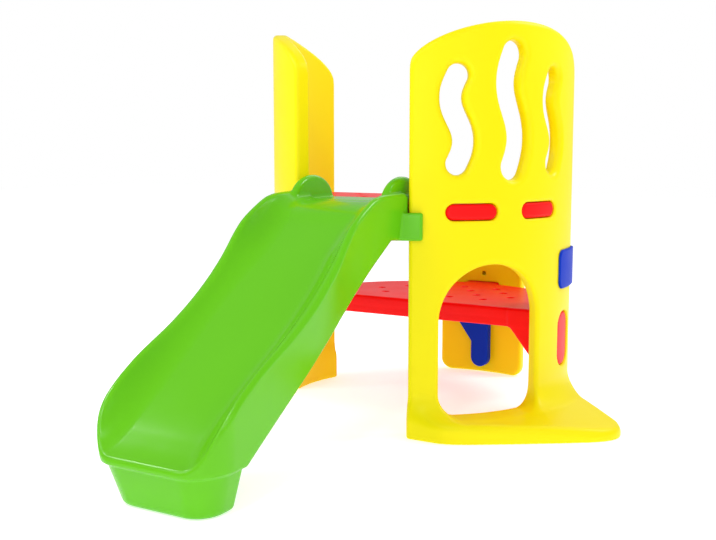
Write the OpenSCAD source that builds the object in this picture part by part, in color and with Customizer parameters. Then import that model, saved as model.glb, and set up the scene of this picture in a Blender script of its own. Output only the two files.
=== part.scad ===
// Toddler climbing gym: a round two-walled tower with a slide, a platform and a back step.
// Millimetres, +Z up, slide toward -Y, mirror plane x = 0.
// Inside the modules the tower's circle is centred on the origin; placed() moves it
// so that the whole object's box has its bottom centre at the origin.
// Bearings are degrees from -Y (the slide) toward +X.

/* [Tower] */
// Outer radius of the circle that both walls stand on
tower_r = 486; // [450:1:540]
// Thickness of a wall
wall_t = 50; // [36:1:70]
// Height of the arch's crown
wall_top = 1206; // [1050:1:1350]
// Rise of the arch above its shoulders
arch_rise = 138; // [90:1:180]
// Bearing of a wall's middle
wall_axis = 65; // [60:0.5:70]
// Half of a wall's sweep
wall_half = 42; // [36:0.5:46]

/* [Wall openings] */
// Bearings of the three wavy slots
slot_bearings = [40, 61.2, 82];
// Room between the crown and the outer slots
slot_room = 125; // [100:1:200]
// Height of the outer slots
slot_h = 315; // [240:1:340]
// How far the middle slot reaches beyond the others at the bottom
slot_drop = 16; // [0:1:30]
// How far the middle slot reaches beyond the others at the top
slot_lift = 69; // [20:1:80]
// Width of an outer slot
slot_w = 66; // [50:1:84]
// Width of the middle slot
slot_mid_w = 78; // [50:1:90]
// Sideways swing of a slot's wave
slot_wave = 19; // [8:1:26]
// Bearing of the crawl door's middle
door_axis = 54; // [46:0.5:56]
// Width of the crawl door
door_w = 332; // [260:1:360]
// Height of the door's sill
door_sill = 60; // [58:1:80]
// Height where the door's arch springs
door_spring = 340; // [260:1:360]
// Radius of the door's lower corners
door_corner = 60; // [20:1:90]

/* [Wall foot] */
// Height of the foot pad
foot_h = 48; // [40:1:56]
// Radius of the cove between the wall and the foot
foot_cove = 64; // [50:1:150]
// Plan of the foot in shares of the tower radius, front to back
foot_shares = [
  [0.43, -0.91], [0.56, -0.945], [0.7, -0.92], [0.935, -0.772], [1.336, -0.485], [1.454, -0.373],
  [1.493, -0.271], [1.459, -0.155], [1.377, -0.068], [1.05, 0.22], [0.96, 0.262]
];

/* [Platform] */
// Top of the platform
deck_z = 686; // [620:1:740]
// Thickness of the platform
deck_t = 52; // [40:1:66]
// Height of a tenon's end
tenon_h = 46; // [30:1:54]
// Front edge of the platform, from the tower's centre
deck_front = 400; // [385:1:412]
// Back edge of the platform, behind the tower's centre
deck_back = 60; // [20:1:120]
// Offsets of the tenons along a wall, from its middle
tenon_at = [-158, 79];
// Width of each tenon
tenon_w = [148, 150];
// Where a tenon's root lies, as a share of the wall's inner radius
root_share = 0.78; // [0.7:0.01:0.8]
// Pitch of the drain holes along a row
hole_pitch = 124; // [90:1:150]
// Bore of a drain hole
hole_d = 25; // [10:1:30]
// Spacing of the rows of drain holes
row_pitch = 84; // [60:1:110]

/* [Step] */
// Top of the step
step_z = 342; // [300:1:380]
// Thickness of the step
step_t = 34; // [24:1:44]
// Front edge of the step, in front of the tower's centre
step_front = 39; // [0:1:60]
// Depth of the step's front apron
apron_d = 61; // [40:1:80]
// Thickness of the apron
apron_t = 22; // [14:1:30]
// Room between the step's round back and the back panel
step_gap = 32; // [8:1:40]
// Lowest point of a gusset's tenon
gusset_low = 164; // [140:1:200]
// Width of a gusset back from the apron's front, as a share of the wall's inner radius
gusset_share = 0.297; // [0.25:0.001:0.3]
// Set-back of a gusset's tenon from the apron's front
gusset_set = 27; // [10:1:27]
// Radius of that tenon's corners
gusset_corner = 45; // [10:1:50]
// How far a gusset reaches in from the wall, under the step
gusset_in = 104; // [80:1:160]
// Drop of a tenon's top below the step's top
tenon_drop = 8; // [4:1:16]

/* [Back panel] */
// Room between the tower's circle and the back panel
panel_gap = 9; // [4:1:30]
// Thickness of the back panel
panel_t = 40; // [30:1:50]
// Half width of the back panel
panel_half = 162; // [130:1:180]
// Height of the back panel
panel_top = 470; // [400:5:660]
// Radius of the back panel's corners
panel_corner = 42; // [20:1:60]
// Half width of the step's tab in the panel
tab_half = 62; // [40:1:80]
// Height of the finger hole
finger_z = 374; // [360:1:400]
// Bore of the finger hole
finger_d = 16; // [8:1:24]

/* [Blue pieces] */
// Bottom of an edge clip
clip_low = 409; // [400:1:440]
// Height of an edge clip
clip_h = 122; // [100:1:160]
// Thickness of an edge clip
clip_t = 7; // [6:1:14]
// Length that a clip reaches along the wall
clip_reach = 165; // [120:1:200]
// Radius of a clip's front corners
clip_corner = 26; // [10:1:40]
// Width of the step's leg
leg_w = 68; // [50:1:90]
// Thickness of the leg
leg_t = 34; // [24:1:44]
// Sideways reach of the leg's brace
leg_brace = 100; // [60:1:120]
// Drop of the leg's brace
leg_brace_drop = 187; // [140:1:220]
// Height of the brace's end
leg_brace_end = 50; // [30:1:70]
// Height of the leg's round bottom
leg_low = 26; // [10:1:40]

/* [Slide] */
// Distance from the tower's centre to the slide's nose
slide_nose = 1360; // [1250:5:1450]
// Half width over the slide's rims
slide_half = 193; // [170:1:205]
// Thickness of a side of the slide
side_t = 26; // [20:1:34]
// Thickness of the bed
bed_t = 24; // [16:1:34]
// Height of the rims at the top
rim_top = 716; // [690:1:740]
// Room between the walls' front corners and the slide's sides
side_gap = 6; // [3:1:12]
// Where the bed's lip ends over the platform, from the tower's centre
lip_end = 322; // [300:1:360]
// Thickness of the lip's thin end
lip_t = 4; // [3:0.5:8]
// Bottom of the sides at the tower
side_low = 583; // [560:1:600]
// Length of the level bottom of the sides
side_level = 57; // [40:1:130]
// Rims: shares of the run and of the rim height
rim_shares = [
  [0, 1], [0.1, 0.998], [0.157, 0.991], [0.207, 0.971], [0.286, 0.916], [0.337, 0.862],
  [0.414, 0.753], [0.509, 0.651], [0.626, 0.557], [0.758, 0.473], [0.812, 0.433], [0.867, 0.385],
  [0.928, 0.315], [0.967, 0.25], [1, 0.18]
];
// Bed: shares of the run and of the rim height
bed_shares = [
  [0, 0.966], [0.075, 0.963], [0.147, 0.935], [0.208, 0.876], [0.333, 0.762], [0.584, 0.532],
  [0.838, 0.312], [0.92, 0.238], [0.965, 0.2], [1, 0.178]
];
// Radius of the nose in plan
nose_r = 104; // [60:1:150]
// Height of the crease round the nose
crease_z = 110; // [80:1:140]
// How far the foot stands in from the nose
foot_in = 12; // [8:1:40]
// Length of the foot
foot_len = 163; // [100:1:220]
// Share of the run where the solid nose begins
nose_share = 0.84; // [0.7:0.01:0.9]

/* [Slide clip] */
// Bottom of the hook block
hook_low = 580; // [560:1:600]
// Height of the hook block
hook_h = 80; // [60:1:110]
// Thickness of the hook outside the wall
hook_t = 16; // [10:1:24]
// Length that the hook reaches along the wall
hook_reach = 44; // [20:1:60]
// Bearing where the hook block begins
hook_from = 17; // [14:0.5:19]
// Drop of the shoulder above a hook below the rim
shoulder_drop = 8; // [4:1:40]
// Turn that the shoulder takes up in front of the wall
shoulder_turn = 2.2; // [1:0.1:4]
// Length of an ear
ear_len = 215; // [160:1:240]
// Rise of an ear above the platform
ear_h = 76; // [50:1:100]
// Thickness of an ear
ear_t = 26; // [24:1:40]
// Room between an ear and the wall's front corner
ear_gap = 2.5; // [2:0.5:20]
// Where an ear begins, from the tower's centre
ear_start = 530; // [480:1:540]

/* [Fasteners] */
// Bearings of the platform's screws
deck_screws = [56, 65, 74];
// Bearings of the step's screws
step_screws = [105];
// Heights of the leg's screws
leg_screws_z = [90, 200];
// Shank of a screw
screw_d = 6; // [4:0.5:8]
// Head of a screw
head_d = 13; // [10:0.5:16]
// Height of a screw's head
head_h = 4; // [3:0.5:6]
// Length of a screw under its head
screw_len = 38; // [24:1:48]
// Drive recess in a head
drive_d = 4; // [3:0.5:5]
// Depth of a flange under the platform or step
flange_d = 34; // [24:1:44]
// Thickness of a flange
flange_t = 14; // [10:1:20]

/* [Fits] */
// Clearance between pieces that touch
fit = 0.5; // [0.3:0.1:1]
// Angle that a flange or a cutter runs past its last screw or face
spare_turn = 4; // [3:0.5:6]
// Amount that a cutter runs past a face
overrun = 5; // [2:1:10]

/* [Hidden] */
$fn = 96;
quarter = 90;
half_turn = 180;
tower_in = tower_r - wall_t;
front_edge = wall_axis - wall_half;
back_edge = wall_axis + wall_half;
reach = 2 * tower_r;
crown = wall_top - arch_rise;
slot_high = wall_top - slot_room;
slot_low = slot_high - slot_h;
chord = tower_r * sin(wall_half);
panel_r = tower_r + panel_gap;
panel_out = panel_r + panel_t;
step_r = panel_r - step_gap;
side_start = tower_r * cos(front_edge) + side_gap;
rear = panel_out + fit + head_h;
y_mid = (rear - slide_nose) / 2;
slide_run = slide_nose - side_start;
ear_x = tower_in * sin(front_edge) - ear_gap;
door_r = door_w / 2;
wall_steps = 28;
wave_steps = 14;
curve_steps = 3;
cove_steps = 8;
arc_steps = 10;
hole_rows = 5;
hole_sides = 24;
drive_sides = 6;
wall_flange_r = tower_in - fit - flange_t;
screw_seat = wall_flange_r;
step_under = step_z - step_t;
gusset_w = gusset_share * tower_in;
gusset_tenon = gusset_w - gusset_set;
deck_under = deck_z - deck_t;
leg_top = step_under - fit;

yellow = [0.97, 0.86, 0.08];
red = [0.86, 0.12, 0.16];
green = [0.55, 0.78, 0.2];
blue = [0.1, 0.35, 0.75];
steel = [0.72, 0.73, 0.75];

// Frames

module placed() translate([0, -y_mid, 0]) children();

// Turns +X to a bearing, so that x runs outward, y along the wall and z up
module toward(bearing) rotate([0, 0, bearing - quarter]) children();

// Draws a profile of (along, up) and extrudes it outward by a length
module outward(length) rotate([quarter, 0, quarter]) linear_extrude(length) children();

// A ring's sector between two radii, two heights and two bearings
module sector(r0, r1, z0, z1, b0, b1)
  rotate([0, 0, b0 - quarter]) rotate_extrude(angle = b1 - b0)
    translate([r0, z0]) square([r1 - r0, z1 - z0]);

module both_sides() { children(); mirror([1, 0, 0]) children(); }

// Profiles

// Smooth curve that passes through every point of a list
function spline(p, i, t) =
  let (n = len(p) - 1, a = p[max(i - 1, 0)], b = p[i], c = p[i + 1], d = p[min(i + 2, n)])
  b + t * (c - a) / 2 + t * t * (2 * a - 5 * b + 4 * c - d) / 2
    + t * t * t * (3 * b - a - 3 * c + d) / 2;
function curve(p) = concat(
  [for (i = [0 : len(p) - 2], k = [0 : curve_steps - 1]) spline(p, i, k / curve_steps)],
  [p[len(p) - 1]]);

// Points of the slide, as (distance from the centre, height)
function on_run(shares) = [for (s = curve(shares)) [side_start + s.x * slide_run, s.y * rim_top]];

module arch_profile()
  polygon(concat([[reach, -overrun], [-reach, -overrun], [-reach, crown], [-chord, crown]],
    [for (k = [1 : wall_steps - 1]) let (a = half_turn - half_turn * k / wall_steps)
      [chord * cos(a), crown + arch_rise * sin(a)]],
    [[chord, crown], [reach, crown]]));

// The foot's cove, as (radius, height)
module cove_profile()
  polygon(concat([[tower_in, overrun], [tower_r + foot_cove, overrun]],
    [for (k = [0 : cove_steps]) let (a = quarter * k / cove_steps)
      [tower_r + foot_cove - foot_cove * sin(a), foot_h + foot_cove - foot_cove * cos(a)]],
    [[tower_in, foot_h + foot_cove]]));

// Points of an arc about a centre, between two angles
function arc(x, y, r, a0, a1, n) =
  [for (k = [0 : n]) let (a = a0 + (a1 - a0) * k / n) [x + r * cos(a), y + r * sin(a)]];

// One wavy slot between two heights: a band of even width about a sine, with round ends
module wave_profile(low, high, width) {
  half = width / 2;
  mid = (low + high) / 2;
  tall = (high - low) / 2 - half;
  function middle(u) = [-slot_wave * sin(half_turn * u), mid + u * tall];
  function lean(u) = atan(slot_wave / tall * PI * cos(half_turn * u));
  function side(u, s) = middle(u) + s * half * [cos(lean(u)), sin(lean(u))];
  function end(u, a) =
    arc(middle(u).x, middle(u).y, half, a + lean(u), a + lean(u) + half_turn, arc_steps);
  polygon(concat(
    [for (k = [1 : wave_steps - 1]) side(2 * k / wave_steps - 1, 1)], end(1, 0),
    [for (k = [1 : wave_steps - 1]) side(1 - 2 * k / wave_steps, -1)], end(-1, half_turn)));
}

// The left wall's opening, which runs out through its front edge and the floor
module open_profile()
  polygon(concat(arc(0, door_spring, door_r, 0, quarter, arc_steps),
    [[-reach, door_spring + door_r], [-reach, -overrun], [door_r, -overrun]]));

module door_profile()
  polygon(concat(arc(0, door_spring, door_r, 0, half_turn, 2 * arc_steps),
    arc(door_corner - door_r, door_sill + door_corner, door_corner, half_turn, 3 * quarter, arc_steps),
    arc(door_r - door_corner, door_sill + door_corner, door_corner, -quarter, 0, arc_steps)));

// A pill, wide along and tall up
module pill(w, h)
  polygon(concat(arc((w - h) / 2, 0, h / 2, -quarter, quarter, arc_steps),
    arc((h - w) / 2, 0, h / 2, quarter, 3 * quarter, arc_steps)));

// Rounded rectangle from its lower left corner
module rounded(w, h, r) {
  translate([r, 0]) square([w - 2 * r, h]);
  translate([0, r]) square([w, h - 2 * r]);
  for (x = [r, w - r], y = [r, h - r]) translate([x, y]) circle(r);
}

// Shared shapes of the joints

// Tenons of the platform in one wall, grown for the sockets
module tenons(grow, from, to)
  toward(wall_axis) for (i = [0 : len(tenon_at) - 1])
    translate([from, tenon_at[i], deck_z - deck_t / 2]) outward(to - from)
      pill(tenon_w[i] + 2 * grow, tenon_h + 2 * grow);

// Wedge of the step's gusset, inside the right wall
module gusset_wedge() {
  inner = tower_in - gusset_in;
  translate([0, gusset_w - step_front, 0]) rotate([quarter, 0, 0]) linear_extrude(gusset_w)
    polygon([[inner, step_z - tenon_drop], [reach, step_z - tenon_drop], [reach, gusset_low],
      [tower_in - 2 * overrun, gusset_low], [inner, step_z - apron_d]]);
}

// Tenon of the step's gusset in the right wall, grown for the socket
module gusset_tenons(grow, from)
  translate([from, gusset_set - step_front - grow, gusset_low - grow]) outward(reach)
    rounded(gusset_tenon + 2 * grow, step_z - tenon_drop - gusset_low + 2 * grow, gusset_corner + grow);

// A screw along +X with its head's underside at the origin
module screw(grow) {
  rotate([0, quarter, 0]) cylinder(h = screw_len + grow, d = screw_d + 2 * grow);
  if (grow == 0) difference() {
    translate([-head_h, 0, 0]) rotate([0, quarter, 0]) cylinder(h = head_h + fit, d = head_d);
    translate([-head_h - overrun, 0, 0]) rotate([0, quarter, 0])
      cylinder(h = overrun + head_h / 2, d = drive_d, $fn = drive_sides);
  }
}

module ring_of_screws(bearings, z, grow)
  for (b = bearings) toward(b) translate([screw_seat - fit, 0, z]) screw(grow);

module deck_ring(grow) ring_of_screws(deck_screws, deck_under - flange_d / 2, grow);
module step_ring(grow) ring_of_screws(step_screws, step_under - flange_d / 2, grow);
module leg_ring(grow)
  for (z = leg_screws_z) translate([0, panel_out + fit, z]) rotate([0, 0, -quarter]) screw(grow);

// Pieces

module foot_plan() polygon(concat([for (s = foot_shares) s * tower_r], [[0, 0]]));

module wall_body() {
  intersection() {
    sector(tower_in, tower_r, 0, wall_top, front_edge, back_edge);
    toward(wall_axis) outward(reach) arch_profile();
  }
  difference() {
    intersection() {
      union() {
        linear_extrude(foot_h) foot_plan();
        rotate_extrude() cove_profile();
      }
      linear_extrude(wall_top) foot_plan();
    }
    translate([0, 0, -overrun]) cylinder(h = wall_top, r = tower_in + wall_t / 2);
  }
}

// A wall with windows and a framed door, or a plain one with an open front
module wall(windows)
  difference() {
    wall_body();
    if (windows) for (i = [0 : 2])
      toward(slot_bearings[i]) translate([tower_in - wall_t, 0, 0]) outward(tower_r)
        wave_profile(slot_low - (i == 1 ? slot_drop : 0), slot_high + (i == 1 ? slot_lift : 0),
          i == 1 ? slot_mid_w : slot_w);
    toward(door_axis) translate([tower_in / 2, 0, 0]) outward(reach)
      if (windows) door_profile(); else open_profile();
    tenons(fit, tower_in / 2, reach);
    gusset_tenons(fit, tower_in / 2);
    deck_ring(fit);
    step_ring(fit);
  }

module right_wall() color(yellow) placed() wall(true);
module left_wall() color(yellow) placed() mirror([1, 0, 0]) wall(false);

module back_panel()
  color(yellow) placed() difference() {
    intersection() {
      sector(panel_r, panel_out, 0, panel_top, quarter + wall_half, 3 * quarter - wall_half);
      rotate([quarter, 0, half_turn]) linear_extrude(reach) translate([-panel_half, 0])
        rounded(2 * panel_half, panel_top, panel_corner);
    }
    translate([-tab_half - fit, 0, step_under - fit])
      cube([2 * (tab_half + fit), reach, step_t + 2 * fit]);
    translate([0, 0, finger_z]) rotate([-quarter, 0, 0]) cylinder(h = reach, d = finger_d);
    leg_ring(fit);
  }

// Staggered drain holes inside the walls, between two places along y and within a half width
module drain_holes(z, thick, front, back, side)
  for (j = [-hole_rows : hole_rows], i = [-hole_rows : hole_rows])
    let (x = (i + (j % 2 == 0 ? 0 : 1 / 2)) * hole_pitch, y = j * row_pitch)
      if (norm([x, y]) < tower_in - hole_pitch / 2 && y > front && y < back && abs(x) < side)
        translate([x, y, z - overrun]) cylinder(h = thick + 2 * overrun, d = hole_d, $fn = hole_sides);

// Flange that hangs under a deck along the right wall, past its first and last screw by an angle
module flange(under, bearings, past)
  sector(wall_flange_r, tower_in - 2 * fit, under - flange_d, under + overrun,
    min(bearings) - past, max(bearings) + past);

module platform()
  color(red) placed() {
    difference() {
      union() {
        intersection() {
          translate([0, 0, deck_under]) cylinder(h = deck_t, r = tower_in - fit);
          translate([-reach, -deck_front, 0]) cube([2 * reach, deck_front + deck_back, wall_top]);
        }
        intersection() {
          both_sides() tenons(0, tower_in * root_share, reach);
          cylinder(h = wall_top, r = tower_r - fit);
        }
        both_sides() flange(deck_under, deck_screws, spare_turn);
      }
      drain_holes(deck_under, deck_t, -lip_end + hole_pitch / 2, deck_back - hole_d, tower_in);
      both_sides() deck_ring(fit);
    }
  }

module step_plan() {
  past_wall = back_edge + spare_turn;
  intersection() {
    circle(tower_in - fit);
    translate([-reach, -step_front]) square([2 * reach, reach]);
  }
  intersection() {
    circle(step_r);
    polygon([[0, 0],
      for (b = [past_wall, 3 * quarter / 2, half_turn, 5 * quarter / 2, 4 * quarter - past_wall])
        reach * [sin(b), -cos(b)]]);
  }
  translate([-tab_half, 0]) square([2 * tab_half, panel_out - fit]);
}

module step()
  color(red) placed() difference() {
    union() {
      translate([0, 0, step_under]) linear_extrude(step_t) step_plan();
      intersection() {
        translate([-reach, -step_front, step_z - apron_d]) cube([2 * reach, apron_t, apron_d]);
        cylinder(h = wall_top, r = tower_in - fit);
      }
      intersection() {
        both_sides() gusset_wedge();
        cylinder(h = wall_top, r = tower_in - fit);
      }
      intersection() {
        both_sides() gusset_tenons(0, tower_in - 3 * overrun);
        cylinder(h = wall_top, r = tower_r - fit);
      }
      both_sides() flange(step_under, step_screws, spare_turn / 2);
    }
    drain_holes(step_under, step_t, apron_t, tower_in, tower_in - gusset_in - hole_d);
    both_sides() step_ring(fit);
  }

// One blue clip that hugs the back edge of the right wall
module clip() {
  start = back_edge - clip_reach / tower_r * half_turn / PI;
  gap = fit / tower_r * half_turn / PI;
  end = back_edge + (clip_t + fit) / tower_r * half_turn / PI;
  out = tower_r + fit + clip_t;
  intersection() {
    difference() {
      sector(tower_in - fit - clip_t, out, clip_low, clip_low + clip_h, start, end);
      sector(tower_in - fit, tower_r + fit, clip_low - overrun, clip_low + clip_h + overrun,
        start - spare_turn, back_edge + gap);
    }
    toward(back_edge) translate([0, -clip_reach, clip_low]) outward(reach)
      rounded(clip_reach + 2 * clip_corner + clip_t, clip_h, clip_corner);
  }
}
module right_clip() color(blue) placed() clip();
module left_clip() color(blue) placed() mirror([1, 0, 0]) clip();

module step_leg()
  color(blue) placed() difference() {
    intersection() {
      translate([0, panel_r - fit, 0]) rotate([quarter, 0, 0]) linear_extrude(leg_t) {
        translate([0, leg_low + leg_w / 2]) circle(leg_w / 2);
        translate([-leg_w / 2, leg_low + leg_w / 2]) square([leg_w, leg_top - leg_low - leg_w / 2]);
        polygon([[-leg_w / 2 - leg_brace, leg_top], [-leg_w / 2 - leg_brace, leg_top - leg_brace_end],
          [-leg_w / 2, leg_top - leg_brace_drop], [0, leg_top - leg_brace_drop], [0, leg_top]]);
      }
      cylinder(h = wall_top, r = panel_r - fit);
    }
    leg_ring(fit);
  }

// Slide

module side_profile()
  polygon(concat(on_run(rim_shares),
    [[slide_nose - foot_in, crease_z], [slide_nose - foot_len, crease_z],
      [side_start + side_level, side_low], [side_start, side_low]]));
module bed_profile() {
  top = on_run(bed_shares);
  polygon(concat(top, [for (i = [len(top) - 1 : -1 : 0]) top[i] - [0, bed_t]]));
}
// The thin lip of the bed that lies on the platform
module lip_profile() {
  root = side_start + overrun;
  polygon([[lip_end, deck_z + fit], [root, deck_z + fit],
    [root, bed_shares[0].y * rim_top - 2 * fit], [lip_end, deck_z + fit + lip_t]]);
}
module nose_profile() {
  top = [for (p = on_run(bed_shares)) if (p.x > side_start + nose_share * slide_run) p];
  polygon(concat(top, [[slide_nose, crease_z], [top[0].x, crease_z]]));
}

// Extrudes a profile of (distance, up) across x between two places
module across(x0, x1)
  translate([x0, 0, 0]) rotate([quarter, 0, -quarter]) mirror([0, 0, 1]) linear_extrude(x1 - x0) children();

// What is cut from the corners of the nose to round it in plan
module nose_corners(inset)
  for (s = [-1, 1]) translate([s * (slide_half - inset), -slide_nose + inset]) difference() {
    translate([-nose_r, -nose_r]) square(2 * nose_r);
    translate([-s * nose_r, nose_r]) circle(nose_r);
    translate([s > 0 ? -2 * nose_r : 0, nose_r]) square(2 * nose_r);
    translate([s > 0 ? -2 * nose_r - nose_r : nose_r, -nose_r]) square([2 * nose_r, reach]);
  }

module ear() {
  translate([ear_x - ear_t, 0, 0]) across(0, ear_t) intersection() {
    polygon([for (k = [0 : wall_steps]) let (a = half_turn * k / wall_steps)
      [ear_start - ear_len / 2 + ear_len / 2 * cos(a), deck_z + fit + ear_h * sin(a)]]);
    translate([0, deck_z + fit]) square([reach, reach]);
  }
}

// Plate under an ear that closes the gap between the slide's side and the wall
module cheek()
  translate([ear_x - ear_t, 0, 0]) across(0, ear_t) translate([deck_front + fit, side_low + overrun])
    square([side_start + overrun - deck_front, deck_z - side_low]);

module hook() {
  gap = fit / tower_r * half_turn / PI;
  far = front_edge + hook_reach / tower_r * half_turn / PI;
  difference() {
    sector(tower_in, tower_r + fit + hook_t, hook_low, hook_low + hook_h, hook_from, far);
    sector(tower_in - overrun, tower_r + fit, hook_low - overrun, hook_low + hook_h + overrun,
      front_edge - gap, far + spare_turn);
  }
}

// Block above a hook that fills the corner between the slide's side and the wall's front edge
module shoulder()
  sector(tower_in + overrun, tower_r - fit, hook_low + overrun, rim_top - shoulder_drop,
    front_edge - shoulder_turn, front_edge - 2 * fit / tower_r * half_turn / PI);

module slide()
  color(green) placed() {
    difference() {
      union() {
        for (x = [-slide_half, slide_half - side_t]) across(x, x + side_t) side_profile();
        across(-slide_half + side_t / 2, slide_half - side_t / 2) bed_profile();
        across(-ear_x, ear_x) lip_profile();
        across(-slide_half + side_t / 2, slide_half - side_t / 2) nose_profile();
      }
      translate([0, 0, -overrun]) linear_extrude(wall_top) nose_corners(0);
    }
    difference() {
      translate([-slide_half + foot_in, -slide_nose + foot_in, 0])
        cube([2 * (slide_half - foot_in), foot_len, crease_z + overrun]);
      translate([0, 0, -overrun]) linear_extrude(wall_top) nose_corners(foot_in);
    }
    both_sides() { ear(); cheek(); hook(); shoulder(); }
  }

module platform_screws_right() color(steel) placed() deck_ring(0);
module platform_screws_left() color(steel) placed() mirror([1, 0, 0]) deck_ring(0);
module step_screws_right() color(steel) placed() step_ring(0);
module step_screws_left() color(steel) placed() mirror([1, 0, 0]) step_ring(0);
module leg_screws() color(steel) placed() leg_ring(0);

right_wall();
left_wall();
back_panel();
platform();
step();
slide();
right_clip();
left_clip();
step_leg();
platform_screws_right();
platform_screws_left();
step_screws_right();
step_screws_left();
leg_screws();
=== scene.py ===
"""Looks of the toddler climbing gym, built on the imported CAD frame.

Each moulding is a solid field: a function of x, y and z that is negative inside the plastic,
zero on its skin and close to a true distance nearby. Fields are joined, cut and rounded as
whole arrays, and skin_of() turns the zero surface into a mesh. Metres, +Z up, slide toward -Y.
Bearings are measured from -Y toward +X about the tower's centre.
"""

import bpy
import numpy as np
from mathutils import Matrix


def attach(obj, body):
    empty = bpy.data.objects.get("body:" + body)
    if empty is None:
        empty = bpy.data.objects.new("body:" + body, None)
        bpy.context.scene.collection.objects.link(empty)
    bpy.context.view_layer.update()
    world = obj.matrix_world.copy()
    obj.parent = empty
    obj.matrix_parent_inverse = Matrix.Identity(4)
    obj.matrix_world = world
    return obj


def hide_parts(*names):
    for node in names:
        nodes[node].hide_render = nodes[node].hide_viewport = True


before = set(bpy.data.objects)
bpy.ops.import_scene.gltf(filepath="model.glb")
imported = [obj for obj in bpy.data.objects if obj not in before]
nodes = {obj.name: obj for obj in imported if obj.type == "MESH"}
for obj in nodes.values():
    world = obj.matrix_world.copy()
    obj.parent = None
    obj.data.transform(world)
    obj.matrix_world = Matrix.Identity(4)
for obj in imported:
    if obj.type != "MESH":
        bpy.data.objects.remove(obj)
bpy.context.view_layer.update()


# Sizes of the tower, as in the part's source
CENTRE_Y = 0.41025
TOWER_R, WALL_T = 0.486, 0.050
TOWER_IN = TOWER_R - WALL_T
WALL_MID_R = TOWER_R - WALL_T / 2
WALL_AXIS, WALL_HALF = np.radians(65.0), np.radians(42.0)
WALL_TOP, ARCH_RISE = 1.206, 0.138
SLOT_BEARINGS = np.radians([40.0, 61.2, 82.0])
SLOT_LOW, SLOT_HIGH, SLOT_DROP, SLOT_LIFT = 0.766, 1.081, 0.016, 0.069
SLOT_W, SLOT_MID_W, SLOT_WAVE = 0.066, 0.078, 0.019
DOOR_AXIS, DOOR_W = np.radians(54.0), 0.332
DOOR_SILL, DOOR_SPRING, DOOR_CORNER = 0.060, 0.340, 0.060
FOOT_H, FOOT_COVE, FOOT_FALL = 0.036, 0.064, 0.15
FOOT_EDGE = TOWER_R * np.array([
    [0.43, -0.91], [0.56, -0.945], [0.7, -0.92], [0.935, -0.772], [1.336, -0.485], [1.454, -0.373],
    [1.493, -0.271], [1.459, -0.155], [1.377, -0.068], [1.05, 0.22], [0.96, 0.262]])
DECK_Z, DECK_T, DECK_FRONT, DECK_BACK = 0.686, 0.052, 0.400, 0.060
TENON_AT, TENON_W, TENON_H = (-0.158, 0.079), (0.148, 0.150), 0.046
STEP_Z, STEP_T, STEP_FRONT, STEP_R = 0.342, 0.034, 0.039, 0.463
APRON_D, APRON_T = 0.061, 0.022
GUSSET_LOW, GUSSET_W, GUSSET_IN, TENON_DROP = 0.164, 0.1295, 0.104, 0.008
GUSSET_TENON, GUSSET_SET, GUSSET_CORNER = 0.1025, 0.027, 0.045
PANEL_R, PANEL_T, PANEL_HALF, PANEL_TOP, PANEL_CORNER = 0.495, 0.040, 0.162, 0.470, 0.042
TAB_HALF, FINGER_Z, FINGER_D = 0.062, 0.374, 0.016
HOLE_PITCH, ROW_PITCH, HOLE_D = 0.124, 0.084, 0.025
FLANGE_D, FLANGE_T = 0.034, 0.014
FIT = 0.0005
FRONT_EDGE, BACK_EDGE = WALL_AXIS - WALL_HALF, WALL_AXIS + WALL_HALF
FOOT_RIM_R = 0.714
TENON_ROOT_SHARE, TENON_PLAY, TENON_SHY = 0.78, 0.002, 0.004
GUSSET_ROOT, GUSSET_ROOT_PLAYS, GUSSET_FLAT, GUSSET_SLOPE = 0.015, 10, 0.010, 0.71
DECK_FLANGE, STEP_FLANGE, FLANGE_ROOT = np.radians((52, 78)), np.radians((103, 107)), 0.005
STEP_WIDENS, APRON_SINK = np.radians(4), 0.004
TAB_ROOT, TAB_SHY, TAB_PLAY, FINGER_DEPTH = 0.3, 0.003, 0.001, 0.030
CLIP_LOW, CLIP_H, CLIP_T, CLIP_REACH, CLIP_CORNER, CLIP_PAST = 0.409, 0.122, 0.007, 0.165, 0.026, 0.06
LEG_W, LEG_T, LEG_LOW = 0.068, 0.034, 0.026
BRACE_W, BRACE_DROP, BRACE_END, BRACE_SLOPE = 0.100, 0.187, 0.050, 0.59

# Sizes of the slide
NOSE, HALF_TOP, HALF_LOW, SIDE_T, BED_T = 1.360, 0.189, 0.198, 0.026, 0.024
RIM_TOP, SIDE_START, LIP_END, SIDE_LOW, SIDE_LEVEL = 0.716, 0.4534, 0.322, 0.583, 0.062
RUN = NOSE - SIDE_START
SIDE_CLOSER = 0.004
SIDE_END = SIDE_START - SIDE_CLOSER
# Rim and bed as shares of the run and of the rim's height
RIM = np.array([
    [0, 1], [0.1, 0.998], [0.157, 0.991], [0.207, 0.971], [0.286, 0.916], [0.337, 0.862], [0.414, 0.753],
    [0.509, 0.651], [0.626, 0.557], [0.758, 0.473], [0.812, 0.433], [0.867, 0.385], [0.928, 0.315],
    [0.967, 0.25], [1, 0.18]])
BED = np.array([
    [0, 0.966], [0.075, 0.963], [0.147, 0.935], [0.208, 0.876], [0.333, 0.762], [0.584, 0.532],
    [0.838, 0.312], [0.92, 0.238], [0.965, 0.2], [1, 0.178]])
WIDENS_FROM, WIDENS_OVER = 0.6, 0.35
SIDE_DRAFT, TROUGH_DRAFT, FOOT_DRAFT, RAMP_SLOPE, RIM_W = 0.08, 0.35, 0.20, 0.82, 0.019
LIP_T, LIP_ROOT, FOOT_BACK, FOOT_ROOT, OVERRUN = 0.007, 0.03, 0.01, 0.02, 0.005
NOSE_R, CREASE_Z, FOOT_IN, FOOT_LEN, NOSE_SHARE = 0.104, 0.110, 0.012, 0.163, 0.84
EAR_X, EAR_T, EAR_H, EAR_LEN, EAR_START = 0.1679, 0.026, 0.076, 0.215, 0.530
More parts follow.
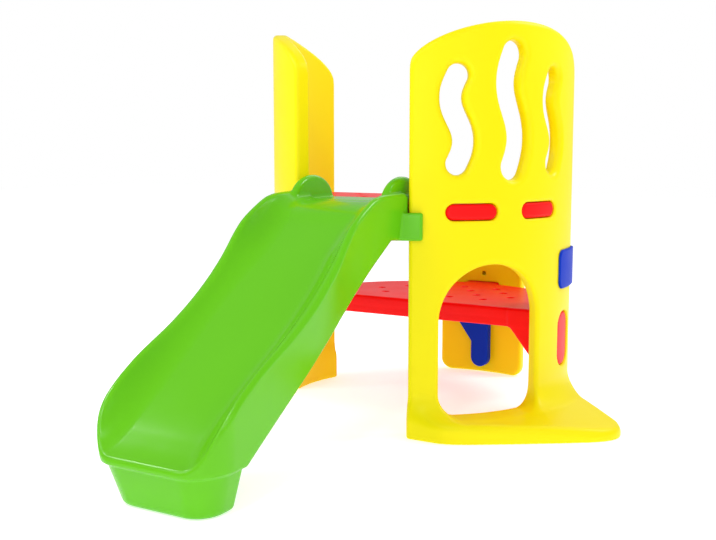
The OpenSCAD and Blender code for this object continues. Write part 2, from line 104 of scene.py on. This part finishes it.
HOOK_LOW, HOOK_H, HOOK_T, HOOK_REACH, HOOK_FROM = 0.580, 0.080, 0.016, 0.044, np.radians(17.0)
SHOULDER_DROP, SHOULDER_DEEP = 0.008, 0.0187

# Edge radii, from a sliding fit's knife edge to the floor of the trough
R_CUT, R_CRISP, R_FINE, R_CLIP, R_SMALL, R_PLATE, R_RIM = 0.001, 0.003, 0.004, 0.005, 0.006, 0.008, 0.010
R_PANEL, R_WALL, R_SLOT, R_FOOT_BACK, R_PAD, R_TROUGH = 0.012, 0.014, 0.019, 0.02, 0.022, 0.055

# Working of the fields' meshes
GRID_CHUNK, PULLS, NUDGE, LEAST_SLOPE, TINY = 24, 4, 2e-4, 0.05, 1e-6


# Joining and cutting fields

def both(a, b, r):
    """Inside a and inside b, with the outer edge rounded to radius r."""
    u, v = a + r, b + r
    return np.minimum(np.maximum(u, v), 0) + np.hypot(np.maximum(u, 0), np.maximum(v, 0)) - r


def either(a, b, r):
    """Inside a or inside b, with the inner corner filled by a cove of radius r."""
    return -both(-a, -b, r)


def without(a, b, r):
    """Inside a and outside b, with the edge of the cut rounded to radius r."""
    return both(a, -b, r)


def slab(v, low, high):
    """Between two values of one coordinate."""
    return np.maximum(low - v, v - high)


def box2(u, v, w, h, r):
    """Rectangle of half sizes w and h about the origin, with corners of radius r."""
    a, b = np.abs(u) - w + r, np.abs(v) - h + r
    return np.minimum(np.maximum(a, b), 0) + np.hypot(np.maximum(a, 0), np.maximum(b, 0)) - r


def plan_field(x, y, points):
    """Signed distance to a closed outline: the nearest edge, negative inside by crossing parity."""
    d = np.full(np.broadcast(x, y).shape, np.inf)
    inside = np.zeros(d.shape, bool)
    for p, q in zip(points, np.roll(points, -1, 0)):
        e = q - p
        t = np.clip(((x - p[0]) * e[0] + (y - p[1]) * e[1]) / (e @ e), 0, 1)
        d = np.minimum(d, np.hypot(x - p[0] - t * e[0], y - p[1] - t * e[1]))
        if e[1] != 0:
            inside ^= ((p[1] > y) != (q[1] > y)) & (x < p[0] + (y - p[1]) * e[0] / e[1])
    return np.where(inside, -d, d)


def smooth_through(points, per=24):
    """Dense points on the smooth curve that passes through the given ones."""
    p = np.vstack([points[:1], points, points[-1:]])
    t = np.linspace(0, 1, per, endpoint=False)[:, None]
    a, b, c, d = (p[i:len(p) - 3 + i, None] for i in range(4))
    s = b + t * (c - a) / 2 + t ** 2 * (2 * a - 5 * b + 4 * c - d) / 2 + t ** 3 * (3 * b - a - 3 * c + d) / 2
    return np.vstack([s.reshape(-1, points.shape[1]), points[-1:]])


def skin_of(field, low, high, step):
    """Vertices and quads of a field's zero surface.

    One vertex sits in each cell of the grid that the surface crosses, at the mean of the crossings
    on the cell's edges; one quad joins the four cells round each crossed edge. A few steps along
    the slope then put every vertex on the surface itself.
    """
    axes = [np.arange(a - 2 * step, b + 3 * step, step) for a, b in zip(low, high)]
    across, up = axes[1][None, :, None], axes[2][None, None, :]
    starts = range(0, len(axes[0]), GRID_CHUNK)
    f = np.concatenate([field(axes[0][i:i + GRID_CHUNK, None, None], across, up) for i in starts], 0)
    solid = f < 0
    cell_sum = np.zeros(tuple(n - 1 for n in f.shape) + (3,))
    cell_hits = np.zeros(cell_sum.shape[:3])
    rings = []
    for k in range(3):
        here = [slice(None)] * 3
        there = [slice(None)] * 3
        here[k], there[k] = slice(0, -1), slice(1, None)
        cross = solid[tuple(here)] != solid[tuple(there)]
        idx = np.argwhere(cross)
        f0, f1 = f[tuple(here)][cross], f[tuple(there)][cross]
        point = idx.astype(float)
        point[:, k] += f0 / (f0 - f1)
        i, j = [m for m in range(3) if m != k]
        ring = []
        for di, dj in ((0, 0), (-1, 0), (-1, -1), (0, -1)):
            cell = idx.copy()
            cell[:, i] += di
            cell[:, j] += dj
            flat = np.ravel_multi_index(cell.T, cell_hits.shape)
            np.add.at(cell_sum.reshape(-1, 3), flat, point)
            np.add.at(cell_hits.reshape(-1), flat, 1)
            ring.append(flat)
        ring = np.stack(ring, 1)
        turn = (f0 < 0) == (k != 1)
        rings.append(np.where(turn[:, None], ring[:, ::-1], ring))
    used = np.flatnonzero(cell_hits)
    number = np.full(cell_hits.size, -1)
    number[used] = np.arange(len(used))
    verts = cell_sum.reshape(-1, 3)[used] / cell_hits.reshape(-1)[used][:, None]
    verts = verts * step + np.array([a[0] for a in axes])

    def at(v):
        return field(v[:, 0], v[:, 1], v[:, 2])

    for _ in range(PULLS):
        value = at(verts)
        ways = NUDGE * np.eye(3)
        slope = np.stack([(at(verts + e) - at(verts - e)) / (2 * NUDGE) for e in ways], 1)
        move = slope * (value / np.maximum((slope ** 2).sum(1), LEAST_SLOPE))[:, None]
        verts = verts - np.clip(move, -step / 2, step / 2)
    return verts, number[np.concatenate(rings)]


def piece(node, field, low, high, step, slot, body, mirrored=False):
    """Makes one moulding from its field, in the row frame, and has it stand for a CAD node."""
    name = node + "_moulding"
    verts, quads = skin_of(field, low, high, step)
    if mirrored:
        verts, quads = verts * (-1, 1, 1), quads[:, ::-1]
    verts = verts + (0, CENTRE_Y, 0)
    mesh = bpy.data.meshes.new(name)
    mesh.vertices.add(len(verts))
    mesh.vertices.foreach_set("co", verts.astype(np.float32).ravel())
    mesh.loops.add(quads.size)
    mesh.loops.foreach_set("vertex_index", quads.astype(np.int32).ravel())
    mesh.polygons.add(len(quads))
    mesh.polygons.foreach_set("loop_start", np.arange(0, quads.size, 4, dtype=np.int32))
    mesh.update(calc_edges=True)
    mesh.validate()
    mesh.polygons.foreach_set("use_smooth", np.ones(len(mesh.polygons), bool))
    mesh.materials.append(plastics[slot])
    obj = bpy.data.objects.new(name, mesh)
    bpy.context.scene.collection.objects.link(obj)
    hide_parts(node)
    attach(obj, body)


# Fields of the tower

foot_plan = np.vstack([smooth_through(FOOT_EDGE, per=6), [[0, 0]]])


def polar(x, y):
    """Radius and bearing about the tower's centre."""
    return np.hypot(x, y), np.arctan2(x, -y)


def wall_frame(x, y):
    """Outward and along-the-wall coordinates of the right-hand wall."""
    ax, ay = np.sin(WALL_AXIS), -np.cos(WALL_AXIS)
    return x * ax + y * ay, -x * ay + y * ax


def tenon_field(x, y, z, grow):
    """Both tenons of the platform in a wall: pills along the wall, run outward."""
    out, along = wall_frame(x, y)
    d = None
    for at, w in zip(TENON_AT, TENON_W):
        end = TENON_H / 2 + grow
        pill = box2(along - at, z - DECK_Z + DECK_T / 2, w / 2 + grow, end, end)
        d = pill if d is None else np.minimum(d, pill)
    return np.maximum(d, TENON_ROOT_SHARE * TOWER_IN - out)


def gusset_tenon_field(x, y, z, grow):
    """Tenon of the step's gusset in a wall: a tall block with round corners, run outward."""
    tall = STEP_Z - TENON_DROP - GUSSET_LOW
    block = box2(y + STEP_FRONT - GUSSET_SET - GUSSET_TENON / 2, z - GUSSET_LOW - tall / 2,
                 GUSSET_TENON / 2 + grow, tall / 2 + grow, GUSSET_CORNER + grow)
    return np.maximum(block, TOWER_IN - GUSSET_ROOT - GUSSET_ROOT_PLAYS * grow - x)


def gusset_field(x, y, z):
    """The step's gusset at one wall: a block whose underside climbs inward from its tenon to the apron."""
    inner = TOWER_IN - GUSSET_IN
    under = np.interp(x, (inner, TOWER_IN - GUSSET_FLAT), (STEP_Z - APRON_D, GUSSET_LOW))
    side = both(slab(y, -STEP_FRONT, GUSSET_W - STEP_FRONT), (under - z) * GUSSET_SLOPE, R_PLATE)
    return np.maximum(np.maximum(side, z - STEP_Z + TENON_DROP), inner - x)


def slot_field(r, bearing, z, at, low, high, width):
    """A wavy slot: a band of even width about a sine, with round ends square to it."""
    half, mid = width / 2, (low + high) / 2
    tall = (high - low) / 2 - half
    lean = SLOT_WAVE * np.pi / tall
    c = r * (bearing - at)
    u = np.clip((z - mid) / tall, -1, 1)
    past = z - mid - u * tall
    steep = lean * np.cos(np.pi * u)
    band = np.abs(c + SLOT_WAVE * np.sin(np.pi * u) - lean * past) / np.sqrt(1 + steep ** 2)
    above, under = z - mid - tall, mid - tall - z
    top, bottom = above + lean * c, under - lean * c
    return np.where(top > 0, np.hypot(c, above), np.where(bottom > 0, np.hypot(c, under), band)) - half


def door_field(r, bearing, z):
    """The crawl door: a half circle on a rectangle with rounded lower corners."""
    c = r * (bearing - DOOR_AXIS)
    arch = np.hypot(c, z - DOOR_SPRING) - DOOR_W / 2
    a, b = np.abs(c) - DOOR_W / 2 + DOOR_CORNER, DOOR_SILL + DOOR_CORNER - z
    leg = np.minimum(np.maximum(a, b), 0) + np.hypot(np.maximum(a, 0), np.maximum(b, 0)) - DOOR_CORNER
    return np.where(z > DOOR_SPRING, arch, leg)


def open_front_field(r, bearing, z):
    """The left wall's opening: a quarter arch that runs out through the front edge and the floor."""
    c = r * (bearing - DOOR_AXIS)
    behind = np.where(z > DOOR_SPRING, np.hypot(c, z - DOOR_SPRING), c)
    return np.where(c < 0, z - DOOR_SPRING, behind) - DOOR_W / 2


def wall_field(windows):
    """A curved wall: a ring's sector under an elliptical arch, coved into its spread foot, then cut."""
    def field(x, y, z):
        r, bearing = polar(x, y)
        edge = WALL_MID_R * (np.abs(bearing - WALL_AXIS) - WALL_HALF)
        chord, crown = TOWER_R * np.sin(WALL_HALF), WALL_TOP - ARCH_RISE
        c, v = TOWER_R * np.sin(bearing - WALL_AXIS) / chord, np.maximum(z - crown, 0) / ARCH_RISE
        e = np.maximum(np.hypot(c, v), TINY)
        arch = (e - 1) * e / np.maximum(np.hypot(c / chord, v / ARCH_RISE), 1.0)
        outline = np.where(z > crown, np.maximum(arch, edge), edge)
        shell = np.abs(r - WALL_MID_R) - WALL_T / 2
        wall = both(shell, outline, R_WALL)
        pad_top = z - FOOT_H - FOOT_FALL * np.maximum(FOOT_RIM_R - r, 0)
        pad = both(plan_field(x, y, foot_plan) + 0 * z, pad_top, R_PAD)
        pad = np.maximum(pad, TOWER_IN - r)
        body = either(wall, pad, FOOT_COVE)
        body = both(body, np.maximum(edge, TOWER_IN - r), R_RIM)
        body = both(body, -z, R_SMALL)
        for i, at in enumerate(SLOT_BEARINGS if windows else ()):
            middle = i == 1
            low, high = SLOT_LOW - SLOT_DROP * middle, SLOT_HIGH + SLOT_LIFT * middle
            slot = slot_field(r, bearing, z, at, low, high, SLOT_MID_W if middle else SLOT_W)
            body = without(body, slot, R_SLOT)
        opening = door_field if windows else open_front_field
        body = without(body, opening(r, bearing, z), R_WALL)
        body = without(body, tenon_field(x, y, z, TENON_PLAY), R_PLATE)
        return without(body, gusset_tenon_field(x, y, z, TENON_PLAY), R_FINE)
    return field


def holes_field(x, y, front, back, side):
    """Staggered rows of drain holes inside the walls, between two places along y and within a half width."""
    row = np.round(y / ROW_PITCH)
    shift = (row % 2) / 2
    hole_x = (np.round(x / HOLE_PITCH - shift) + shift) * HOLE_PITCH
    hole_y = row * ROW_PITCH
    keep = (np.hypot(hole_x, hole_y) < TOWER_IN - HOLE_PITCH / 2) & (hole_y > front) & (hole_y < back)
    keep &= np.abs(hole_x) < side
    return np.where(keep, np.hypot(x - hole_x, y - hole_y) - HOLE_D / 2, HOLE_D)


def flange_field(x, y, z, under, bearings):
    """A curved flange that hangs below a deck along the wall, between two bearings."""
    r, bearing = polar(np.abs(x), y)
    sweep = TOWER_IN * slab(bearing, *bearings)
    ring = slab(r, TOWER_IN - FIT - FLANGE_T, TOWER_IN - 2 * FIT)
    return np.maximum(np.maximum(ring, sweep), slab(z, under - FLANGE_D, under + FLANGE_ROOT))


def platform_field(x, y, z):
    """The platform: the front of a disc, with tenons through both walls and drain holes."""
    r, _ = polar(x, y)
    plan = both(r - TOWER_IN + FIT, slab(y, -DECK_FRONT, DECK_BACK), R_SMALL)
    body = both(plan, slab(z, DECK_Z - DECK_T, DECK_Z), R_PLATE)
    pegs = both(tenon_field(np.abs(x), y, z, 0), r - TOWER_R + TENON_SHY, R_PLATE)
    flange = flange_field(x, y, z, DECK_Z - DECK_T, DECK_FLANGE)
    body = np.minimum(either(body, pegs, R_SMALL), flange)
    holes = holes_field(x, y, HOLE_PITCH / 2 - LIP_END, DECK_BACK - HOLE_D, TOWER_IN)
    return without(body, holes, R_CRISP)


def step_field(x, y, z):
    """The step: the back of a disc that widens past the walls, with an apron, gussets and a back tab."""
    r, bearing = polar(np.abs(x), y)
    past_wall = r * (BACK_EDGE + STEP_WIDENS - bearing)
    edge = np.minimum(r - TOWER_IN + FIT, np.maximum(r - STEP_R, past_wall))
    plan = both(edge, -STEP_FRONT - y, R_RIM)
    body = both(plan, slab(z, STEP_Z - STEP_T, STEP_Z), R_PLATE)
    front = both(slab(y, -STEP_FRONT, -STEP_FRONT + APRON_T), r - TOWER_IN + FIT, R_CRISP)
    apron = both(front, slab(z, STEP_Z - APRON_D, STEP_Z - APRON_SINK), R_PLATE)
    reach = both(np.abs(x) - TAB_HALF, slab(y, TAB_ROOT, PANEL_R + PANEL_T - TAB_SHY), R_CRISP)
    tab = both(reach, slab(z, STEP_Z - STEP_T, STEP_Z), R_SMALL)
    wedges = both(gusset_field(np.abs(x), y, z), r - TOWER_IN + FIT, R_CRISP)
    tenons = both(gusset_tenon_field(np.abs(x), y, z, 0), r - TOWER_R + TENON_SHY, R_PLATE)
    body = either(np.minimum(body, tab), apron, R_FINE)
    body = either(body, np.minimum(wedges, tenons), R_PLATE)
    body = np.minimum(body, flange_field(x, y, z, STEP_Z - STEP_T, STEP_FLANGE))
    holes = holes_field(x, y, APRON_T, TOWER_IN, TOWER_IN - GUSSET_IN - HOLE_D)
    return without(body, holes, R_CRISP)


def panel_field(x, y, z):
    """The back panel: a curved plate with rounded corners, a slot for the step's tab and a finger hole."""
    r, _ = polar(x, y)
    outline = box2(x, z - PANEL_TOP / 2, PANEL_HALF, PANEL_TOP / 2, PANEL_CORNER)
    body = both(np.maximum(outline, -y), slab(r, PANEL_R, PANEL_R + PANEL_T), R_PANEL)
    tab = box2(x, z - STEP_Z + STEP_T / 2, TAB_HALF + TAB_PLAY, STEP_T / 2 + TAB_PLAY, R_FINE)
    body = without(body, tab, R_CRISP)
    hole = np.maximum(np.hypot(x, z - FINGER_Z) - FINGER_D / 2, r - PANEL_R - FINGER_DEPTH)
    return without(body, hole, R_CRISP)


def clip_field(x, y, z):
    """A blue edge clip: a channel folded over the back edge of a wall."""
    r, bearing = polar(x, y)
    s = TOWER_R * (bearing - BACK_EDGE)
    half = (CLIP_REACH + CLIP_PAST) / 2
    face = box2(s + CLIP_REACH - half, z - CLIP_LOW - CLIP_H / 2, half, CLIP_H / 2, CLIP_CORNER)
    leaves = slab(r, TOWER_IN - FIT - CLIP_T, TOWER_R + FIT + CLIP_T)
    outer = both(both(leaves, s - CLIP_T - FIT, R_PLATE), face, R_CLIP)
    return without(outer, np.maximum(slab(r, TOWER_IN - FIT, TOWER_R + FIT), s - FIT), R_CUT)


def leg_field(x, y, z):
    """The step's blue leg: a round-footed post on the back panel, with a brace at one side of its head."""
    top, half = STEP_Z - STEP_T - FIT, LEG_W / 2
    post = np.where(z < LEG_LOW + half, np.hypot(x, z - LEG_LOW - half), np.abs(x)) - half
    under = np.interp(-x, (half, half + BRACE_W), (top - BRACE_DROP, top - BRACE_END))
    arm = np.maximum(slab(x, -half - BRACE_W, 0), (under - z) * BRACE_SLOPE)
    face = both(np.minimum(post, arm), z - top, R_FINE)
    r, _ = polar(x, y)
    return both(both(face, PANEL_R - FIT - LEG_T - y, R_SMALL), r - PANEL_R + FIT, R_FINE)


# Field of the slide

rim_curve = smooth_through(RIM) * (RUN, RIM_TOP) + (SIDE_START, 0)
bed_curve = smooth_through(BED) * (RUN, RIM_TOP) + (SIDE_START, 0)


def over(curve, out, z):
    """Height above a curve of (distance, height), shortened by the curve's steepness."""
    steep = np.gradient(curve[:, 1], curve[:, 0])
    rise = z - np.interp(out, curve[:, 0], curve[:, 1])
    return rise / np.sqrt(1 + np.interp(out, curve[:, 0], steep) ** 2)


def ear_field(out, ax, z):
    """Ears beside the platform: half ellipses that stand on it."""
    half = EAR_LEN / 2
    a, b = (out - EAR_START + half) / half, np.maximum(z - DECK_Z, 0) / EAR_H
    e = np.maximum(np.hypot(a, b), TINY)
    lobe = (e - 1) * e / np.maximum(np.hypot(a / half, b / EAR_H), 1.0)
    lobe = np.maximum(lobe, DECK_Z + FIT - z)
    return both(lobe, slab(ax, EAR_X - EAR_T, EAR_X), R_WALL)


def cheek_field(out, ax, z):
    """Plates under the ears that close the gap between the slide's sides and the walls."""
    sheet = both(slab(out, DECK_FRONT + FIT, SIDE_START + OVERRUN),
                 slab(z, SIDE_LOW + OVERRUN, DECK_Z + OVERRUN), R_FINE)
    return both(sheet, slab(ax, EAR_X - EAR_T, EAR_X), R_SMALL)


def hook_field(ax, y, z):
    """Hooks round the walls' front edges, each with a shoulder above it, less the room of the wall."""
    r, bearing = polar(ax, y)
    s = TOWER_R * (bearing - FRONT_EDGE)
    sweep = slab(s, TOWER_R * (HOOK_FROM - FRONT_EDGE), HOOK_REACH)
    block = both(slab(r, TOWER_IN, TOWER_R + FIT + HOOK_T), sweep, R_SMALL)
    block = both(block, slab(z, HOOK_LOW, HOOK_LOW + HOOK_H), R_SMALL)
    corner = both(slab(r, TOWER_IN, TOWER_R + FIT), slab(s, -SHOULDER_DEEP, FIT), R_CRISP)
    shoulder = both(corner, slab(z, HOOK_LOW + HOOK_H / 2, RIM_TOP - SHOULDER_DROP), R_SMALL)
    wall_room = np.maximum(r - TOWER_R - FIT, -s - FIT)
    return without(either(block, shoulder, R_FINE), wall_room, R_CUT)


def slide_field(x, y, z):
    """The slide: an S-rimmed trough on a straight ramp, a round nose on a tapered foot, and its holds."""
    out = -y + 0 * x
    ax = np.abs(x)
    ease = np.clip((out - WIDENS_FROM) / WIDENS_OVER, 0, 1)
    half = HALF_TOP + (HALF_LOW - HALF_TOP) * ease * ease * (3 - 2 * ease)
    below = np.maximum(np.interp(out, rim_curve[:, 0], rim_curve[:, 1]) - z, 0)
    lean = SIDE_DRAFT * below
    nose = box2(ax + lean, np.maximum(out + lean - NOSE / 2, 0), half, NOSE / 2, NOSE_R)
    line = np.interp(out, (SIDE_START + SIDE_LEVEL, NOSE - FOOT_LEN), (SIDE_LOW, CREASE_Z))
    outer = both(nose, over(rim_curve, out, z), R_RIM)
    outer = both(outer, (line - z) * RAMP_SLOPE, R_SMALL)
    outer = both(outer, SIDE_END - out, R_FINE)
    trough = both(ax - half + RIM_W + TROUGH_DRAFT * below, -over(bed_curve, out, z), R_TROUGH)
    body = without(outer, trough, R_PLATE)
    hollow = np.maximum(ax - half + SIDE_T + lean, over(bed_curve, out, z) + BED_T)
    body = without(body, np.maximum(hollow, out - SIDE_START - NOSE_SHARE * RUN), R_FINE)
    lip_top = np.interp(out, (LIP_END, SIDE_START), (DECK_Z + FIT + LIP_T, bed_curve[0, 1]))
    lip = both(ax - EAR_X, slab(out, LIP_END, SIDE_START + LIP_ROOT), R_SMALL)
    lip = both(lip, slab(z, DECK_Z + FIT, lip_top), R_CRISP)
    body = either(body, lip, R_SMALL)
    inset = FOOT_IN + FOOT_DRAFT * np.maximum(CREASE_Z - z, 0)
    foot = both(nose + inset, NOSE - FOOT_LEN - FOOT_BACK - out, R_FOOT_BACK)
    foot = both(foot, slab(z, 0, CREASE_Z + FOOT_ROOT), R_PANEL)
    body = either(body, foot, R_SMALL)
    body = either(body, ear_field(out, ax, z), R_PLATE)
    body = either(body, cheek_field(out, ax, z), R_FINE)
    return either(body, hook_field(ax, y, z), R_CRISP)


# Finishes

def moulded_skin():
    """Shared finish of moulded plastic: a soft tone drift, fine orange peel, and scuffs in the gloss."""
    g = bpy.data.node_groups.new("moulded_skin", "ShaderNodeTree")
    g.interface.new_socket("Colour", in_out="INPUT", socket_type="NodeSocketColor")
    g.interface.new_socket("Deep", in_out="INPUT", socket_type="NodeSocketColor")
    g.interface.new_socket("Gloss", in_out="INPUT", socket_type="NodeSocketFloat")
    g.interface.new_socket("Colour", in_out="OUTPUT", socket_type="NodeSocketColor")
    g.interface.new_socket("Roughness", in_out="OUTPUT", socket_type="NodeSocketFloat")
    g.interface.new_socket("Normal", in_out="OUTPUT", socket_type="NodeSocketVector")
    n, link = g.nodes, g.links.new
    enter, leave = n.new("NodeGroupInput"), n.new("NodeGroupOutput")
    place = n.new("ShaderNodeTexCoord")

    def noise(scale, detail):
        t = n.new("ShaderNodeTexNoise")
        t.inputs["Scale"].default_value = scale
        t.inputs["Detail"].default_value = detail
        link(place.outputs["Object"], t.inputs["Vector"])
        return t.outputs["Fac"]

    drift = n.new("ShaderNodeMix")
    drift.data_type = "RGBA"
    link(noise(scale=3.0, detail=3.0), drift.inputs["Factor"])
    link(enter.outputs["Colour"], drift.inputs["A"])
    link(enter.outputs["Deep"], drift.inputs["B"])
    link(drift.outputs["Result"], leave.inputs["Colour"])
    scuff = n.new("ShaderNodeMapRange")
    scuff.inputs["From Min"].default_value, scuff.inputs["From Max"].default_value = 0.2, 0.8
    scuff.inputs["To Min"].default_value, scuff.inputs["To Max"].default_value = -0.03, 0.05
    scuff.interpolation_type = "SMOOTHSTEP"
    link(noise(scale=9.0, detail=3.0), scuff.inputs["Value"])
    add = n.new("ShaderNodeMath")
    link(enter.outputs["Gloss"], add.inputs[0])
    link(scuff.outputs["Result"], add.inputs[1])
    link(add.outputs["Value"], leave.inputs["Roughness"])
    bump = n.new("ShaderNodeBump")
    bump.inputs["Strength"].default_value, bump.inputs["Distance"].default_value = 0.05, 0.0005
    link(noise(scale=160.0, detail=1.0), bump.inputs["Height"])
    link(bump.outputs["Normal"], leave.inputs["Normal"])
    return g


skin = moulded_skin()


def plastic(slot, colour, deep, gloss, shine):
    """A moulded plastic of one colour, with the shared skin, a gloss and a strength of reflection."""
    m = bpy.data.materials.new(slot + "_skin")
    m.use_nodes = True
    n, link = m.node_tree.nodes, m.node_tree.links.new
    shader = n["Principled BSDF"]
    coat = n.new("ShaderNodeGroup")
    coat.node_tree = skin
    coat.inputs["Colour"].default_value = (*colour, 1)
    coat.inputs["Deep"].default_value = (*deep, 1)
    coat.inputs["Gloss"].default_value = gloss
    link(coat.outputs["Colour"], shader.inputs["Base Color"])
    link(coat.outputs["Roughness"], shader.inputs["Roughness"])
    link(coat.outputs["Normal"], shader.inputs["Normal"])
    shader.inputs["Specular IOR Level"].default_value = shine
    return m


# Slot, colour, deeper tone, roughness and strength of reflection of each plastic
PLASTICS = (
    ("yellow_plastic", (0.85, 0.730, 0.0012), (0.84, 0.710, 0.001), 0.37, 0.14),
    ("red_plastic", (0.96, 0.004, 0.005), (0.92, 0.003, 0.004), 0.34, 0.14),
    ("green_plastic", (0.122, 0.492, 0.005), (0.116, 0.474, 0.004), 0.19, 0.24),
    ("blue_plastic", (0.005, 0.038, 0.50), (0.004, 0.034, 0.47), 0.38, 0.05))
plastics = {row[0]: plastic(*row) for row in PLASTICS}

steel = bpy.data.materials.new("screw_steel")
steel.use_nodes = True
steel_nodes, steel_link = steel.node_tree.nodes, steel.node_tree.links.new
metal = steel_nodes["Principled BSDF"]
metal.inputs["Metallic"].default_value = 1.0
metal.inputs["Base Color"].default_value = (0.62, 0.62, 0.64, 1)
grain = steel_nodes.new("ShaderNodeTexNoise")
grain.inputs["Scale"].default_value = 900.0
grain_range = steel_nodes.new("ShaderNodeMapRange")
grain_range.inputs["To Min"].default_value, grain_range.inputs["To Max"].default_value = 0.25, 0.5
where = steel_nodes.new("ShaderNodeTexCoord")
steel_link(where.outputs["Object"], grain.inputs["Vector"])
steel_link(grain.outputs["Fac"], grain_range.inputs["Value"])
steel_link(grain_range.outputs["Result"], metal.inputs["Roughness"])
for name in nodes:
    if "_screws" in name:
        nodes[name].data.materials.clear()
        nodes[name].data.materials.append(steel)

# Pieces, each with the box and the grid step that its field is worked out on

for node, windows in (("right_wall", True), ("left_wall", False)):
    piece(node, wall_field(windows), low=(0.10, -0.49, 0.0), high=(0.75, 0.17, WALL_TOP), step=0.0055,
          slot="yellow_plastic", body="tower", mirrored=not windows)
piece("back_panel", panel_field, low=(-0.17, 0.46, 0), high=(0.17, 0.55, PANEL_TOP), step=0.004,
      slot="yellow_plastic", body="tower")
piece("platform", platform_field, low=(-0.50, -0.42, 0.59), high=(0.50, 0.07, 0.70), step=0.004,
      slot="red_plastic", body="tower")
piece("step", step_field, low=(-0.50, -0.12, 0.14), high=(0.50, 0.55, 0.35), step=0.0042,
      slot="red_plastic", body="tower")
for node, mirrored in (("right_clip", False), ("left_clip", True)):
    piece(node, clip_field, low=(0.37, -0.06, 0.40), high=(0.52, 0.18, 0.56), step=0.0028,
          slot="blue_plastic", body="tower", mirrored=mirrored)
piece("step_leg", leg_field, low=(-0.15, 0.44, 0.01), high=(0.05, 0.51, 0.32), step=0.003,
      slot="blue_plastic", body="tower")
piece("slide", slide_field, low=(-0.25, -NOSE, 0), high=(0.25, -0.30, 0.77), step=0.005,
      slot="green_plastic", body="slide")


# Stage, light and camera

def stage_floor():
    """A wide pale floor that looks white to the camera and keeps the object's shadow."""
    half = 14.0
    mesh = bpy.data.meshes.new("studio_floor")
    square = [(-half, -half, 0), (half, -half, 0), (half, half, 0), (-half, half, 0)]
    mesh.from_pydata(square, [], [(0, 1, 2, 3)])
    obj = bpy.data.objects.new("studio_floor", mesh)
    bpy.context.scene.collection.objects.link(obj)
    m = bpy.data.materials.new("studio_floor_white")
    m.use_nodes = True
    shader = m.node_tree.nodes["Principled BSDF"]
    shader.inputs["Base Color"].default_value = (0.97, 0.97, 0.97, 1)
    shader.inputs["Roughness"].default_value = 0.9
    shader.inputs["Specular IOR Level"].default_value = 0.1
    shader.inputs["Emission Color"].default_value = (1, 1, 1, 1)
    shader.inputs["Emission Strength"].default_value = 0.49
    mesh.materials.append(m)


stage_floor()
world = bpy.data.worlds.new("studio_white")
bpy.context.scene.world = world
world.use_nodes = True
wn, wl = world.node_tree.nodes, world.node_tree.links.new
wn.clear()
sky, seen = wn.new("ShaderNodeBackground"), wn.new("ShaderNodeBackground")
mix = wn.new("ShaderNodeMixShader")
sky.inputs["Color"].default_value, sky.inputs["Strength"].default_value = (1, 1, 1, 1), 0.55
seen.inputs["Color"].default_value, seen.inputs["Strength"].default_value = (1, 1, 1, 1), 1.0
path = wn.new("ShaderNodeLightPath")
wl(path.outputs["Is Camera Ray"], mix.inputs["Fac"])
wl(sky.outputs["Background"], mix.inputs[1])
wl(seen.outputs["Background"], mix.inputs[2])
wl(mix.outputs["Shader"], wn.new("ShaderNodeOutputWorld").inputs["Surface"])


def looking(place, aim):
    """Matrix of a lamp or camera at a place, its -Z toward a spot and its x level."""
    back = np.subtract(place, aim) / np.linalg.norm(np.subtract(place, aim))
    right = np.cross((0, 0, 1), back)
    right = right / np.linalg.norm(right)
    m = np.eye(4)
    m[:3, 0], m[:3, 1], m[:3, 2], m[:3, 3] = right, np.cross(back, right), back, place
    return Matrix(m.tolist())


def lamp(name, place, aim, size, power):
    """A square soft box that points at a spot."""
    light = bpy.data.lights.new(name, "AREA")
    light.size, light.energy = size, power
    obj = bpy.data.objects.new(name, light)
    bpy.context.scene.collection.objects.link(obj)
    obj.matrix_world = looking(place, aim)


lamp("key_soft_box", (-1.6, -3.2, 3.4), (0, 0, 0.5), size=2.2, power=53)
lamp("fill_soft_box", (3.4, -2.0, 2.2), (0, 0, 0.6), size=2.0, power=14)
lamp("front_soft_box", (2.2, -4.2, 1.0), (0, 0.4, 0.5), size=1.2, power=20)
lamp("inner_soft_box", (1.7, 1.5, 2.6), (-0.4, 0.4, 0.9), size=1.0, power=36)
lamp("rim_strip", (0.9, -2.6, 3.0), (0, -0.5, 0.4), size=0.35, power=18)
lamp("strip_light", (-2.2, -1.4, 2.6), (0, -0.4, 0.5), size=0.5, power=16)
lamp("back_soft_box", (-0.5, 3.2, 3.0), (0, 0, 0.7), size=2.0, power=16)

# Camera of the photograph: 31.4 degrees to the right of the slide, 6.9 degrees down
CAMERA_AT = np.array([1.6395, -3.0971 + CENTRE_Y, 0.8581])
BEARING, DOWN, FOCAL_PX = np.radians(31.358), np.radians(6.86), 1057.6
PHOTO_WIDE, SENSOR = 716, 36.0
camera = bpy.data.cameras.new("photo_camera")
camera.sensor_fit, camera.sensor_width = "HORIZONTAL", SENSOR
camera.lens = FOCAL_PX * SENSOR / PHOTO_WIDE
eye = bpy.data.objects.new("photo_camera", camera)
bpy.context.scene.collection.objects.link(eye)
ahead = np.array([-np.sin(BEARING) * np.cos(DOWN), np.cos(BEARING) * np.cos(DOWN), -np.sin(DOWN)])
eye.matrix_world = looking(CAMERA_AT, CAMERA_AT + ahead)
bpy.context.scene.camera = eye
bpy.context.scene.view_settings.view_transform = "Standard"
